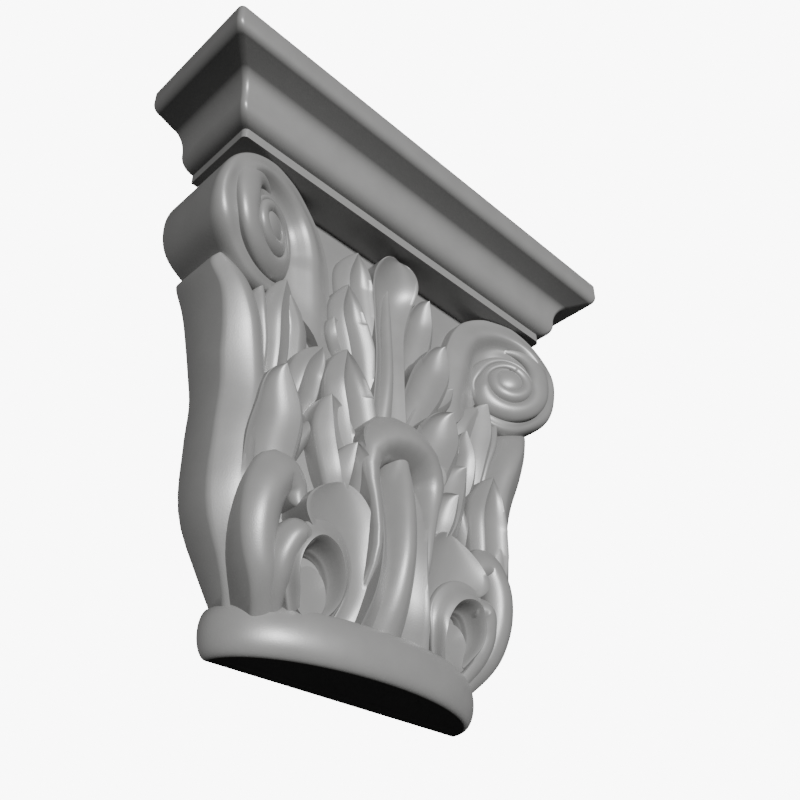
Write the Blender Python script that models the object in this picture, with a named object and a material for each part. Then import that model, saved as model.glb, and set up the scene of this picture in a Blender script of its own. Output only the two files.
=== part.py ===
"""Corinthian pilaster capital, one block of cast stone with a flat back.

From the bottom up the block has an astragal, a bell carved with acanthus leaves and two corner
volutes, and a moulded abacus. The three are members of one block, so the model is one object.
X runs along the wall, the back lies on the plane y = HALF_DEPTH, and z = 0 is the underside.
"""
import math
from collections import namedtuple

import bmesh
import bpy
import numpy as np

# Abacus, in metres: its plan, and its mouldings from the top down
ABACUS_WIDTH = 0.300
ABACUS_DEPTH = 0.0764
ABACUS_CORNER = 0.003
FILLET_HEIGHT = 0.0090
OVOLO_HEIGHT = 0.0063
OVOLO_REACH = 0.0050
SOFFIT_DROP = 0.0033
SOFFIT_REACH = 0.0085
CAVETTO_HEIGHT = 0.0147
CAVETTO_REACH = 0.0083
CYMA_HEIGHT = 0.0093
CYMA_REACH = 0.0083
BED_HEIGHT = 0.0060
ABACUS_HEIGHT = FILLET_HEIGHT + OVOLO_HEIGHT + SOFFIT_DROP + CAVETTO_HEIGHT + CYMA_HEIGHT + BED_HEIGHT

# Astragal: a half ellipse in plan, rounded by ASTRAGAL_ROUND at the middle of its height
ASTRAGAL_WIDTH = 0.1625
ASTRAGAL_DEPTH = 0.0390
ASTRAGAL_HEIGHT = 0.0230
ASTRAGAL_ROUND = 0.0058

# Bell with its carving: width across the volutes, height between astragal and abacus, depth to the
# foremost leaf, and how far it runs into its two neighbours so that the block is one solid
BELL_WIDTH = 0.2608
BELL_HEIGHT = 0.2284
BELL_DEPTH = 0.0516
BELL_LAP = 0.0020

HALF_DEPTH = ABACUS_DEPTH / 2
BELL_TOP = ASTRAGAL_HEIGHT + BELL_HEIGHT

# The carving is drawn in shares of the capital's width: x outward from the middle, y towards the wall
# and so negative in front of it, z up from the underside. These are the drawn bell's own measures.
DRAWN_WIDTH = 0.8692
DRAWN_FOOT_WIDTH = 0.5416
DRAWN_FOOT = 0.0765
DRAWN_HEIGHT = 0.7615
DRAWN_DEPTH = 0.172

# How finely each form is cut
MOULDING_STEPS = 3
CORNER_STEPS = 3
ASTRAGAL_AROUND = 28
ASTRAGAL_UP = 8
LOBE_ROWS = 7
ROWS_PER_STATION = 2
LOBE_COLUMNS = 2
ROLL_COLUMNS = 5
EYE_STEPS = 14
EYE_UP = 2
DISC_STEPS = 16
SEAM = 0.00001
TIP_SPACING = 1.5
LEAST_THICKNESS = 0.001
CREASE_ANGLE = 38

STONE_GREY = (0.30, 0.30, 0.30, 1.0)
STONE_ROUGHNESS = 0.55

# A flank of a lobe: its widths along the spine, how far it falls back and how much it is hollowed,
# both as shares of that width, and the power of the fall (1 is a straight slope, 2 a round one)
Flank = namedtuple("Flank", "widths fall hollow power", defaults=(0.0, 1.0))
# A lobe: a spine of points on its crest, its two flanks, how blunt its tip is and where its back lies
Lobe = namedtuple("Lobe", "name spine inner outer bluntness back", defaults=(1.0, -0.03))

PAIRED_LOBES = (
    Lobe("side leaf",
         ((0.206, -0.040, 0.060), (0.252, -0.076, 0.130), (0.280, -0.096, 0.200), (0.294, -0.106, 0.310),
          (0.292, -0.112, 0.400), (0.303, -0.117, 0.452), (0.322, -0.126, 0.505), (0.350, -0.124, 0.560),
          (0.384, -0.106, 0.609)),
         Flank((0.030, 0.035, 0.040, 0.045, 0.042, 0.042, 0.046, 0.052), 0.85, 0, 2),
         Flank((0.034, 0.034, 0.045, 0.042, 0.046, 0.046, 0.040, 0.028), 0.66, 0, 1.3), 0.32, 0),
    Lobe("upper inner",
         ((0.062, -0.092, 0.560), (0.100, -0.104, 0.680), (0.109, -0.107, 0.742), (0.097, -0.114, 0.797)),
         Flank((0.050, 0.064, 0.062), 0.0, 0.26),
         Flank((0.014, 0.022, 0.022), 0.9, 0, 1.2), 0.62, -0.03),
    Lobe("upper outer",
         ((0.070, -0.100, 0.480), (0.116, -0.120, 0.570), (0.136, -0.124, 0.632), (0.127, -0.125, 0.692)),
         Flank((0.050, 0.074, 0.068), 0.08, 0.27),
         Flank((0.014, 0.020, 0.018), 1.0, 0, 1.2), 0.62, -0.03),
    Lobe("blade",
         ((0.076, -0.095, 0.480), (0.116, -0.105, 0.545), (0.144, -0.117, 0.578), (0.152, -0.119, 0.606)),
         Flank((0.026, 0.034, 0.032), 0.15, 0.2),
         Flank((0.010, 0.014, 0.013), 0.9, 0, 1.2), 0.5, -0.03),
    Lobe("mid inner",
         ((0.085, -0.110, 0.330), (0.119, -0.130, 0.410), (0.139, -0.137, 0.470), (0.133, -0.136, 0.535)),
         Flank((0.060, 0.082, 0.084), 0.16, 0.27),
         Flank((0.016, 0.026, 0.024), 0.9, 0, 1.2), 0.56, -0.03),
    Lobe("low outer",
         ((0.100, -0.110, 0.240), (0.132, -0.130, 0.300), (0.150, -0.133, 0.360), (0.162, -0.135, 0.430)),
         Flank((0.045, 0.058, 0.062), 0.18, 0.24),
         Flank((0.016, 0.024, 0.026), 0.8, 0, 1.2), 0.56, -0.03),
    Lobe("low inner",
         ((0.100, -0.085, 0.190), (0.108, -0.108, 0.245), (0.116, -0.138, 0.300), (0.118, -0.152, 0.349)),
         Flank((0.036, 0.050, 0.056), 0.1, 0.22),
         Flank((0.014, 0.022, 0.026), 0.9, 0, 1.2), 0.42, -0.03),
    Lobe("small mid",
         ((0.205, -0.085, 0.380), (0.208, -0.112, 0.440), (0.202, -0.121, 0.480), (0.178, -0.126, 0.521)),
         Flank((0.035, 0.045, 0.040), 0.2, 0.18),
         Flank((0.014, 0.020, 0.020), 0.8, 0, 1.2), 0.56, -0.03),
    Lobe("hook",
         ((0.240, -0.080, 0.400), (0.252, -0.106, 0.500), (0.262, -0.116, 0.560), (0.257, -0.117, 0.625)),
         Flank((0.022, 0.034, 0.042), 0.5, 0.08),
         Flank((0.016, 0.024, 0.024), 0.9, 0, 1.4), 0.46, -0.03),
    Lobe("hook side",
         ((0.205, -0.080, 0.440), (0.204, -0.096, 0.520), (0.212, -0.103, 0.565), (0.238, -0.106, 0.610)),
         Flank((0.018, 0.026, 0.024), 0.5, 0, 1.5),
         Flank((0.020, 0.022, 0.020), 0.3), 0.5, -0.03),
    Lobe("hook stem",
         ((0.262, -0.080, 0.420), (0.272, -0.098, 0.500), (0.288, -0.106, 0.555), (0.296, -0.104, 0.600)),
         Flank((0.012, 0.015, 0.016), 0.9, 0, 1.6),
         Flank((0.012, 0.015, 0.016), 0.9, 0, 1.6), 0.5, -0.03),
    Lobe("side inner",
         ((0.240, -0.098, 0.180), (0.219, -0.121, 0.300), (0.215, -0.127, 0.365), (0.248, -0.126, 0.449)),
         Flank((0.014, 0.020, 0.022), 1.0, 0, 1.5),
         Flank((0.050, 0.080, 0.078), 0.1, 0.25), 0.55, -0.03),
    Lobe("cross stem",
         ((0.222, -0.088, 0.270), (0.198, -0.102, 0.325), (0.168, -0.108, 0.390)),
         Flank((0.017, 0.017), 0.9, 0, 1.6),
         Flank((0.017, 0.017), 0.9, 0, 1.6), 0.5, -0.03),
    Lobe("big lobe",
         ((0.206, -0.078, 0.060), (0.232, -0.110, 0.100), (0.251, -0.124, 0.145), (0.257, -0.133, 0.190),
          (0.247, -0.137, 0.235), (0.226, -0.134, 0.260), (0.204, -0.128, 0.248), (0.196, -0.120, 0.216)),
         Flank((0.022, 0.026, 0.030, 0.032, 0.030, 0.026, 0.022), 0.75, 0, 2),
         Flank((0.024, 0.028, 0.034, 0.038, 0.042, 0.042, 0.024), 0.60, 0, 2), 0.5, -0.03),
    Lobe("small lobe",
         ((0.196, -0.080, 0.060), (0.212, -0.114, 0.100), (0.215, -0.133, 0.140), (0.202, -0.142, 0.168),
          (0.176, -0.132, 0.166)),
         Flank((0.020, 0.024, 0.026, 0.022), 0.8, 0, 2),
         Flank((0.018, 0.022, 0.026, 0.026), 0.8, 0, 2), 0.5, -0.03),
    Lobe("big scoop",
         ((0.100, -0.080, 0.050), (0.082, -0.104, 0.120), (0.104, -0.111, 0.200), (0.124, -0.126, 0.284)),
         Flank((0.020, 0.030, 0.050), -0.34, 0, 2),
         Flank((0.010, 0.014, 0.066), -0.28, 0, 2), 0.5, -0.03),
)
MIDDLE_LOBES = (
    Lobe("top leaf",
         ((0.000, -0.085, 0.420), (0.000, -0.090, 0.600), (0.000, -0.086, 0.700), (0.000, -0.092, 0.770),
          (0.000, -0.126, 0.829)),
         Flank((0.046, 0.036, 0.041, 0.055), -0.45, 0, 2),
         Flank((0.046, 0.036, 0.041, 0.055), -0.45, 0, 2), 0.44, -0.03),
    Lobe("fan rib",
         ((0.000, -0.092, 0.430), (0.000, -0.106, 0.560), (0.000, -0.101, 0.680), (0.000, -0.094, 0.780)),
         Flank((0.026, 0.015, 0.012), 0.8, 0, 2),
         Flank((0.026, 0.015, 0.012), 0.8, 0, 2), 0.6, -0.03),
    Lobe("stem leaf",
         ((0.000, -0.080, 0.060), (0.000, -0.108, 0.115), (0.000, -0.120, 0.185), (0.000, -0.118, 0.256),
          (0.000, -0.110, 0.320), (0.000, -0.100, 0.367), (0.000, -0.100, 0.430)),
         Flank((0.072, 0.060, 0.050, 0.054, 0.074, 0.095), -0.48, 0, 2),
         Flank((0.072, 0.060, 0.050, 0.054, 0.074, 0.095), -0.48, 0, 2), 0.4, -0.03),
    Lobe("stem ridge",
         ((0.000, -0.100, 0.050), (0.000, -0.134, 0.115), (0.000, -0.154, 0.185), (0.000, -0.158, 0.256),
          (0.000, -0.152, 0.320), (0.000, -0.142, 0.368), (0.000, -0.130, 0.430)),
         Flank((0.060, 0.046, 0.037, 0.034, 0.032, 0.030), 1.1, 0, 2),
         Flank((0.060, 0.046, 0.037, 0.034, 0.032, 0.030), 1.1, 0, 2), 0.5, -0.03),
    Lobe("hood",
         ((-0.056, -0.100, 0.110), (-0.054, -0.138, 0.190), (-0.062, -0.145, 0.262), (-0.072, -0.146, 0.316),
          (-0.074, -0.152, 0.354), (-0.050, -0.162, 0.386), (0.000, -0.170, 0.398), (0.050, -0.162, 0.386),
          (0.074, -0.152, 0.354), (0.072, -0.146, 0.316), (0.062, -0.145, 0.262), (0.054, -0.138, 0.190),
          (0.056, -0.100, 0.110)),
         Flank((0.008, 0.008, 0.009, 0.014, 0.024, 0.046, 0.058, 0.046, 0.024, 0.014, 0.009, 0.008),
               0.7, 0, 2),
         Flank((0.012, 0.020, 0.030, 0.038, 0.040, 0.034, 0.030, 0.034, 0.040, 0.038, 0.030, 0.020),
               1.2, 0, 2),
         0.5, -0.03),
)

# The bell's ground behind the carving: height, half width, depth and the roundness of its plan
CORE_STATIONS = ((0.060, 0.222, 0.098, 2.0), (0.140, 0.270, 0.094, 2.4), (0.250, 0.300, 0.088, 4.0),
                 (0.450, 0.310, 0.083, 8.0), (0.600, 0.330, 0.082, 10.0), (0.850, 0.330, 0.082, 10.0))
CORE_ACROSS = 14

# A band round a centre at one angle, clockwise from the top of the right-hand one: radius and depth of
# its edge, of the arris inside it, of its crest and of the trough behind
Station = namedtuple("Station", "degrees edge arris crest trough")
# A band: its centre, its stations, how far it goes on inside the trough and how far down, the least
# radius, the angle up to which it goes on only that far, where its back lies, and its steps
Band = namedtuple("Band", "name centre stations inward sink least open_until back rows")

SCROLL_BAND = Band("scroll band", (0.3067, 0.6987), (
    Station(-139, (0.264, -0.088), (0.260, -0.092), (0.190, -0.104), (0.106, -0.088)),
    Station(-120, (0.200, -0.092), (0.196, -0.096), (0.142, -0.110), (0.076, -0.090)),
    Station(-102, (0.163, -0.096), (0.159, -0.100), (0.118, -0.114), (0.064, -0.092)),
    Station(-80, (0.151, -0.099), (0.147, -0.103), (0.109, -0.117), (0.065, -0.094)),
    Station(-40, (0.150, -0.108), (0.146, -0.112), (0.110, -0.125), (0.074, -0.100)),
    Station(0, (0.143, -0.136), (0.138, -0.140), (0.106, -0.145), (0.083, -0.122)),
    Station(20, (0.137, -0.146), (0.130, -0.150), (0.103, -0.157), (0.080, -0.133)),
    Station(45, (0.132, -0.152), (0.123, -0.160), (0.099, -0.167), (0.072, -0.148)),
    Station(70, (0.1298, -0.152), (0.118, -0.166), (0.103, -0.163), (0.060, -0.150)),
    Station(90, (0.1285, -0.142), (0.115, -0.160), (0.098, -0.158), (0.055, -0.150)),
    Station(115, (0.127, -0.124), (0.107, -0.152), (0.091, -0.152), (0.055, -0.145)),
    Station(139, (0.115, -0.102), (0.100, -0.132), (0.0885, -0.136), (0.055, -0.130)),
    Station(180, (0.111, -0.090), (0.100, -0.110), (0.087, -0.113), (0.055, -0.110)),
    Station(210, (0.100, -0.082), (0.093, -0.092), (0.083, -0.096), (0.055, -0.095)),
), 0.04, 0.003, 0.045, -60, 0.0, 28)
HORSESHOE = Band("horseshoe", (0.150, 0.110), (
    Station(-150, (0.055, -0.086), (0.053, -0.088), (0.047, -0.104), (0.034, -0.090)),
    Station(-125, (0.054, -0.092), (0.052, -0.095), (0.043, -0.114), (0.031, -0.094)),
    Station(-90, (0.058, -0.102), (0.055, -0.106), (0.041, -0.124), (0.031, -0.096)),
    Station(-50, (0.081, -0.109), (0.077, -0.114), (0.046, -0.130), (0.037, -0.098)),
    Station(-8, (0.097, -0.120), (0.092, -0.126), (0.060, -0.139), (0.050, -0.100)),
    Station(20, (0.094, -0.124), (0.088, -0.130), (0.065, -0.142), (0.054, -0.102)),
    Station(50, (0.078, -0.118), (0.073, -0.124), (0.057, -0.134), (0.044, -0.100)),
    Station(85, (0.060, -0.106), (0.057, -0.110), (0.046, -0.126), (0.032, -0.098)),
    Station(125, (0.052, -0.092), (0.050, -0.096), (0.039, -0.112), (0.028, -0.094)),
    Station(150, (0.055, -0.084), (0.053, -0.087), (0.043, -0.100), (0.032, -0.088)),
), 0.004, 0.012, 0.010, math.inf, -0.03, 14)
DISC_CENTRE = (0.154, 0.101)
DISC_RADII = (0.031, 0.040)
DISC_FACE = -0.098
DISC_REAR = -0.030

# Volute: its domed eye, the hollow face its rolls lie on, and the outer edges of the main roll and of
# the one that dies out, at angles clockwise from the top of the right-hand one
EYE = (0.3067, -0.1400, 0.6987)
EYE_RADIUS = 0.0265
EYE_DOME = 0.0095
GROUND_SLOPE = 0.50
GROUND_HOLLOWS = (2.6, 3.0, 0.5)
ROLL_ANGLES = (-15, 5, 25, 60, 90, 135, 180, 225, 250, 270, 315, 360, 450, 480, 540, 585, 630, 675, 720,
               745)
ROLL_EDGES = (0.096, 0.106, 0.112, 0.108, 0.0945, 0.090, 0.087, 0.0805, 0.068, 0.056, 0.0475, 0.045,
              0.047, 0.0495, 0.052, 0.048, 0.0415, 0.034, 0.029, 0.027)
TAIL_ANGLES = (210, 270, 330, 360, 420, 480)
TAIL_EDGES = (0.083, 0.072, 0.0605, 0.055, 0.053, 0.0495)
FIRST_TURN = (-15, 338, 24)
SECOND_TURN = (328, 680, 18)
LAST_TURN = (670, 720, 4)
DYING_TURN = (212, 478, 14)
ROLL_RISE = 0.45
ROLL_HIGHEST = 0.0125
ROLL_BED = 0.004
ROLL_LAP = 0.0015
ROLL_DIVE = 0.035
DIVE_TURN = 85.0
OPEN_WIDTH = 0.028
OPEN_TURN = 90.0
LOOSE_SHARE = 0.4
LOOSE_TURN = 75.0
ROLL_BACK = 0.0


def clear_scene():
    """Removes whatever the file holds."""
    for item in list(bpy.data.objects):
        bpy.data.objects.remove(item)


def placed(x, y, z):
    """Takes a point of the drawing to the block, in metres."""
    share = (z - DRAWN_FOOT) / DRAWN_HEIGHT
    foot = ASTRAGAL_WIDTH / DRAWN_FOOT_WIDTH
    top = BELL_WIDTH / DRAWN_WIDTH
    across = foot + (top - foot) * min(max(share * 2, 0.0), 1.0)
    return x * across, HALF_DEPTH + y * BELL_DEPTH / DRAWN_DEPTH, ASTRAGAL_HEIGHT + share * BELL_HEIGHT


def solid(name, points, faces):
    """Makes an object of one closed mesh."""
    mesh = bpy.data.meshes.new(name)
    mesh.from_pydata(points, [], faces)
    form = bmesh.new()
    form.from_mesh(mesh)
    bmesh.ops.remove_doubles(form, verts=form.verts, dist=SEAM)
    bmesh.ops.recalc_face_normals(form, faces=form.faces)
    form.to_mesh(mesh)
    form.free()
    item = bpy.data.objects.new(name, mesh)
    bpy.context.scene.collection.objects.link(item)
    return item


def loft(name, rings):
    """Closes a stack of rings, each with the same number of points, into a solid."""
    size = len(rings[0])
    points = [point for ring in rings for point in ring]
    faces = [tuple(range(size)), tuple(range(len(points) - size, len(points)))]
    for level in range(len(rings) - 1):
        for step in range(size):
            a, b = level * size + step, level * size + (step + 1) % size
            faces.append((a, b, b + size, a + size))
    return solid(name, points, faces)


def quarter(reach, drop, hollow):
    """Steps inward and down along a quarter ellipse, hollow or round."""
    steps = []
    for step in range(1, MOULDING_STEPS + 1):
        angle = math.pi / 2 * step / MOULDING_STEPS
        if hollow:
            steps.append((reach * math.sin(angle), drop * (1 - math.cos(angle))))
        else:
            steps.append((reach * (1 - math.cos(angle)), drop * math.sin(angle)))
    return steps


def abacus_profile():
    """Insets and heights of the abacus, from its top face down."""
    inset, height = 0.0, BELL_TOP + ABACUS_HEIGHT
    profile = [(inset, height), (inset, height - FILLET_HEIGHT)]
    members = (quarter(OVOLO_REACH, OVOLO_HEIGHT, False), [(SOFFIT_REACH, SOFFIT_DROP)],
               quarter(CAVETTO_REACH, CAVETTO_HEIGHT, True), quarter(CYMA_REACH, CYMA_HEIGHT, False),
               [(0.0, BED_HEIGHT)])
    for member in members:
        inset, height = profile[-1]
        profile += [(inset + reach, height - drop) for reach, drop in member]
    return profile


def abacus():
    """The square slab, moulded on its front and ends and flat behind."""
    rings = []
    for inset, height in abacus_profile():
        half, depth = ABACUS_WIDTH / 2 - inset, ABACUS_DEPTH - inset
        quarter_turn = [math.pi / 2 * step / CORNER_STEPS for step in range(CORNER_STEPS + 1)]
        corner = [(half - ABACUS_CORNER * (1 - math.cos(a)), depth - ABACUS_CORNER * (1 - math.sin(a)))
                  for a in quarter_turn]
        side = [(half, 0.0)] + corner
        ring = [(x, HALF_DEPTH - y, height) for x, y in side]
        ring += [(-x, HALF_DEPTH - y, height) for x, y in reversed(side)]
        rings.append(ring)
    return loft("abacus", rings)


def astragal():
    """The rounded band under the bell, a half ellipse in plan."""
    rings = []
    for level in range(ASTRAGAL_UP + 1):
        angle = math.pi * level / ASTRAGAL_UP
        inset = ASTRAGAL_ROUND * (1 - math.sin(angle))
        height = ASTRAGAL_HEIGHT / 2 * (1 - math.cos(angle))
        half, depth = ASTRAGAL_WIDTH / 2 - inset, ASTRAGAL_DEPTH - inset
        turn = [math.pi * step / ASTRAGAL_AROUND for step in range(ASTRAGAL_AROUND + 1)]
        rings.append([(half * math.cos(a), HALF_DEPTH - depth * math.sin(a), height) for a in turn])
    return loft("astragal", rings)


def bell_core():
    """The bell's ground, from inside the astragal to inside the abacus."""
    rings = []
    for height, half, depth, power in CORE_STATIONS:
        ring = []
        for step in range(CORE_ACROSS + 1):
            across = math.sin(math.pi / 2 * (2 * step / CORE_ACROSS - 1))
            ring.append(placed(half * across, -depth * (1 - abs(across) ** power) ** (1 / power), height))
        rings.append(ring)
    lowest, highest = ASTRAGAL_HEIGHT - BELL_LAP, BELL_TOP + BELL_LAP
    rings[0] = [(x, y, lowest) for x, y, z in rings[0]]
    rings[-1] = [(x, y, highest) for x, y, z in rings[-1]]
    return loft("bell", rings)


def knots_of(points):
    """Shares of the way along a line of points, as seen from the front."""
    steps = np.linalg.norm(np.diff(points[:, [0, 2]], axis=0), axis=1)
    return np.concatenate([[0.0], np.cumsum(steps)]) / steps.sum()


def smooth(values, knots, stations):
    """Values at the stations of a smooth curve through the values at the knots."""
    values = np.array(values, float).reshape(len(knots), -1)
    slopes = np.gradient(values, knots, axis=0)
    span = np.clip(np.searchsorted(knots, stations, side="right") - 1, 0, len(knots) - 2)
    length = (knots[span + 1] - knots[span])[:, None]
    s = (stations - knots[span])[:, None] / length
    rise = s * s * (3 - 2 * s)
    return ((1 - rise) * values[span] + rise * values[span + 1]
            + s * (1 - s) ** 2 * length * slopes[span] - s * s * (1 - s) * length * slopes[span + 1])


def widths_along(flank, knots, stations, bluntness):
    """A flank's width at each station, closing at the tip."""
    widths, inner = np.array(flank.widths, float), knots[:-1]
    along = smooth(widths, inner, np.minimum(stations, inner[-1]))[:, 0]
    slope = np.gradient(widths, inner)[-1]
    length = 1 - inner[-1]
    s = np.clip((stations - inner[-1]) / length, 0, 1)
    closing = (widths[-1] + slope * length * s * (1 - s)) * (1 - s * s) ** bluntness
    return np.where(stations > inner[-1], closing, along)


def headings(points):
    """Directions to the right of travel along a line of points, seen from the front."""
    ahead = np.gradient(points[:, [0, 2]], axis=0)
    ahead /= np.linalg.norm(ahead, axis=1)[:, None]
    return np.stack([ahead[:, 1], -ahead[:, 0]], -1)


def lobe_surface(lobe):
    """The carved face of a lobe, as rows of points from its root to its tip."""
    spine = np.array(lobe.spine, float)
    knots = knots_of(spine)
    rows = max(LOBE_ROWS, ROWS_PER_STATION * (len(spine) - 1))
    stations = 1 - (1 - np.linspace(0, 1, rows + 1)) ** TIP_SPACING
    crest = smooth(spine, knots, stations)
    right = headings(crest)
    shares = [step / LOBE_COLUMNS for step in range(LOBE_COLUMNS + 1)]
    columns = [(-1, s) for s in reversed(shares[1:])] + [(1, s) for s in shares]
    surface = []
    for side, s in columns:
        flank = lobe.inner if side < 0 else lobe.outer
        width = widths_along(flank, knots, stations, lobe.bluntness)
        place = crest[:, [0, 2]] + (side * width * s)[:, None] * right
        depth = crest[:, 1] + width * (flank.fall * s ** flank.power + flank.hollow * 4 * s * (1 - s))
        surface.append(np.stack([place[:, 0], depth, place[:, 1]], -1))
    return np.array(surface).transpose(1, 0, 2)


def slab(name, surface, back, side, pointed=False):
    """Closes a carved face into a solid with a flat back; side -1 makes the left-hand one."""
    rows, columns = surface.shape[:2]
    if pointed:
        surface[-1] = surface[-1, columns // 2]
    front = [placed(side * x, min(y, back - LEAST_THICKNESS), z) for x, y, z in surface.reshape(-1, 3)]
    rear = [placed(side * x, back, z) for x, y, z in surface.reshape(-1, 3)]
    count = rows * columns
    faces = []
    for row in range(rows - 1):
        for column in range(columns - 1):
            a = row * columns + column
            faces.append((a, a + 1, a + columns + 1, a + columns))
            faces.append((a + count, a + columns + count, a + columns + 1 + count, a + 1 + count))
        for a in (row * columns, row * columns + columns - 1):
            faces.append((a, a + columns, a + columns + count, a + count))
    for row in (0, rows - 1):
        for column in range(columns - 1):
            a = row * columns + column
            faces.append((a, a + 1, a + 1 + count, a + count))
    return solid(name, front + rear, faces)


def about(centre, degrees, radius, depth):
    """A drawn point at an angle and a radius from a centre."""
    turn = math.radians(degrees)
    return centre[0] + radius * math.sin(turn), depth, centre[1] + radius * math.cos(turn)


def band_surface(band):
    """A band's face, in rows from its edge inwards."""
    knots = np.array([station.degrees for station in band.stations], float)
    lines = [[*station.edge, *station.arris, *station.crest, *station.trough] for station in band.stations]
    angles = np.linspace(knots[0], knots[-1], band.rows + 1)
    surface = []
    for degrees, line in zip(angles, smooth(lines, knots, angles)):
        edge, arris, crest, trough = line.reshape(4, 2)
        inner = max(trough[0] - band.inward, band.least) if degrees <= band.open_until else band.least
        row = [edge, arris, (arris + crest) / 2, crest, (crest + trough) / 2, trough,
               (inner, trough[1] + band.sink)]
        surface.append([about(band.centre, degrees, radius, depth) for radius, depth in row])
    return np.array(surface)


def disc(side):
    """The flat disc inside the horseshoe."""
    rings = []
    for depth in (DISC_REAR, DISC_FACE):
        turn = [2 * math.pi * step / DISC_STEPS for step in range(DISC_STEPS)]
        rings.append([placed(side * (DISC_CENTRE[0] + DISC_RADII[0] * math.sin(a)), depth,
                             DISC_CENTRE[1] + DISC_RADII[1] * math.cos(a)) for a in turn])
    return loft("disc", rings)


def volute_ground(across, up):
    """Depth of the volute's hollow face, away from its eye."""
    sideways, below, above = GROUND_HOLLOWS
    return (EYE[1] - GROUND_SLOPE * across + sideways * across ** 2 + below * min(up, 0) ** 2
            + above * max(up, 0) ** 2)


def edge_at(degrees, angles, edges):
    """Radius of a roll's outer edge at an angle."""
    return float(smooth(edges, np.array(angles, float), np.array([degrees]))[0, 0])


def main_edges(degrees):
    """Radii of the main roll's outer edge and of its inner side, which comes down onto the next turn."""
    outer = edge_at(degrees, ROLL_ANGLES, ROLL_EDGES)
    if degrees + 360 > ROLL_ANGLES[-1]:
        return outer, EYE_RADIUS - ROLL_LAP
    closed = edge_at(degrees + 360, ROLL_ANGLES, ROLL_EDGES) - ROLL_LAP
    share = min(max(degrees / OPEN_TURN, 0.0), 1.0)
    return outer, outer - OPEN_WIDTH + (closed - outer + OPEN_WIDTH) * share * share * (3 - 2 * share)


def tail_edges(degrees):
    """Radii of the dying roll's outer edge and of its inner side, which slips under the main roll."""
    outer, (above, below) = edge_at(degrees, TAIL_ANGLES, TAIL_EDGES), main_edges(degrees)
    under = min(above - ROLL_LAP, outer - ROLL_LAP)
    loose = outer - LOOSE_SHARE * (outer - below - ROLL_LAP)
    share = min(max((degrees - TAIL_ANGLES[0]) / LOOSE_TURN, 0.0), 1.0)
    return outer, loose + (under - loose) * share * share * (3 - 2 * share)


def roll_surface(stretch, edges, dive):
    """A stretch of a rounded roll, which starts as deep as the dive."""
    start, stop, rows = stretch
    surface = []
    for step in range(rows + 1):
        degrees = start + (stop - start) * step / rows
        outer, inner = edges(degrees)
        width = outer - inner
        sunk = dive * max(0.0, 1 - (degrees - start) / DIVE_TURN) ** 2
        row = []
        for column in range(ROLL_COLUMNS + 1):
            turn = math.pi * column / ROLL_COLUMNS
            radius = outer - width * (1 - math.cos(turn)) / 2
            x, y, z = about((EYE[0], EYE[2]), degrees, radius, 0.0)
            swell = min(ROLL_RISE * width, ROLL_HIGHEST) * math.sin(turn)
            row.append((x, volute_ground(x - EYE[0], z - EYE[2]) + ROLL_BED - swell + sunk, z))
        surface.append(row)
    return np.array(surface)


def eye(side):
    """The domed eye."""
    rings = []
    for level in range(EYE_UP + 1):
        climb = math.pi / 2 * level / (EYE_UP + 1)
        ring = []
        for step in range(EYE_STEPS):
            turn = 360 * step / EYE_STEPS
            x, y, z = about((EYE[0], EYE[2]), turn, EYE_RADIUS * math.cos(climb), 0.0)
            depth = volute_ground(x - EYE[0], z - EYE[2]) + ROLL_BED - EYE_DOME * math.sin(climb)
            ring.append(placed(side * x, depth, z))
        rings.append(ring)
    rear = [(x, placed(0.0, ROLL_BACK, 0.0)[1], z) for x, y, z in rings[0]]
    return loft("eye", [rear] + rings)


def scroll(side):
    """The volute's solids, with the stem that turns over into it."""
    surfaces = (("first turn", roll_surface(FIRST_TURN, main_edges, ROLL_DIVE)),
                ("second turn", roll_surface(SECOND_TURN, main_edges, 0.0)),
                ("last turn", roll_surface(LAST_TURN, main_edges, 0.0)),
                ("dying roll", roll_surface(DYING_TURN, tail_edges, 0.0)))
    rolls = [slab(name, surface, ROLL_BACK, side) for name, surface in surfaces]
    bands = [slab(band.name, band_surface(band), band.back, side) for band in (SCROLL_BAND, HORSESHOE)]
    return rolls + bands + [eye(side), disc(side)]


def fuse(base, pieces):
    """Joins the pieces to the base, which becomes one closed solid."""
    gathered = bpy.data.collections.new("pieces")
    for piece in pieces:
        gathered.objects.link(piece)
    union = base.modifiers.new("union", "BOOLEAN")
    union.operation = "UNION"
    union.operand_type = "COLLECTION"
    union.collection = gathered
    drawn = base.evaluated_get(bpy.context.evaluated_depsgraph_get())
    base.data = bpy.data.meshes.new_from_object(drawn)
    base.modifiers.remove(union)
    for piece in pieces:
        bpy.data.objects.remove(piece)
    bpy.data.collections.remove(gathered)


def stone():
    """Plain grey cast stone."""
    material = bpy.data.materials.new("stone")
    material.use_nodes = True
    shader = material.node_tree.nodes["Principled BSDF"]
    shader.inputs["Base Color"].default_value = STONE_GREY
    shader.inputs["Roughness"].default_value = STONE_ROUGHNESS
    shader.inputs["Metallic"].default_value = 0.0
    return material


def capital():
    """The whole block."""
    block = bell_core()
    pieces = [abacus(), astragal()]
    for side in (1, -1):
        pieces += [slab(lobe.name, lobe_surface(lobe), lobe.back, side, True) for lobe in PAIRED_LOBES]
        pieces += scroll(side)
    pieces += [slab(lobe.name, lobe_surface(lobe), lobe.back, 1, True) for lobe in MIDDLE_LOBES]
    fuse(block, pieces)
    block.name = "capital"
    block.data.materials.clear()
    block.data.materials.append(stone())
    block.data.shade_smooth()
    block.data.set_sharp_from_angle(angle=math.radians(CREASE_ANGLE))


clear_scene()
capital()
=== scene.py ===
"""Looks of the Corinthian pilaster capital: its fine carving, its stone, the light and the camera.

The carving is drawn in shares of the capital's width, x outward from the middle, y towards the wall and
so negative in front of it, z up from the underside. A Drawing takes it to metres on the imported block.
"""
from __future__ import annotations

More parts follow.
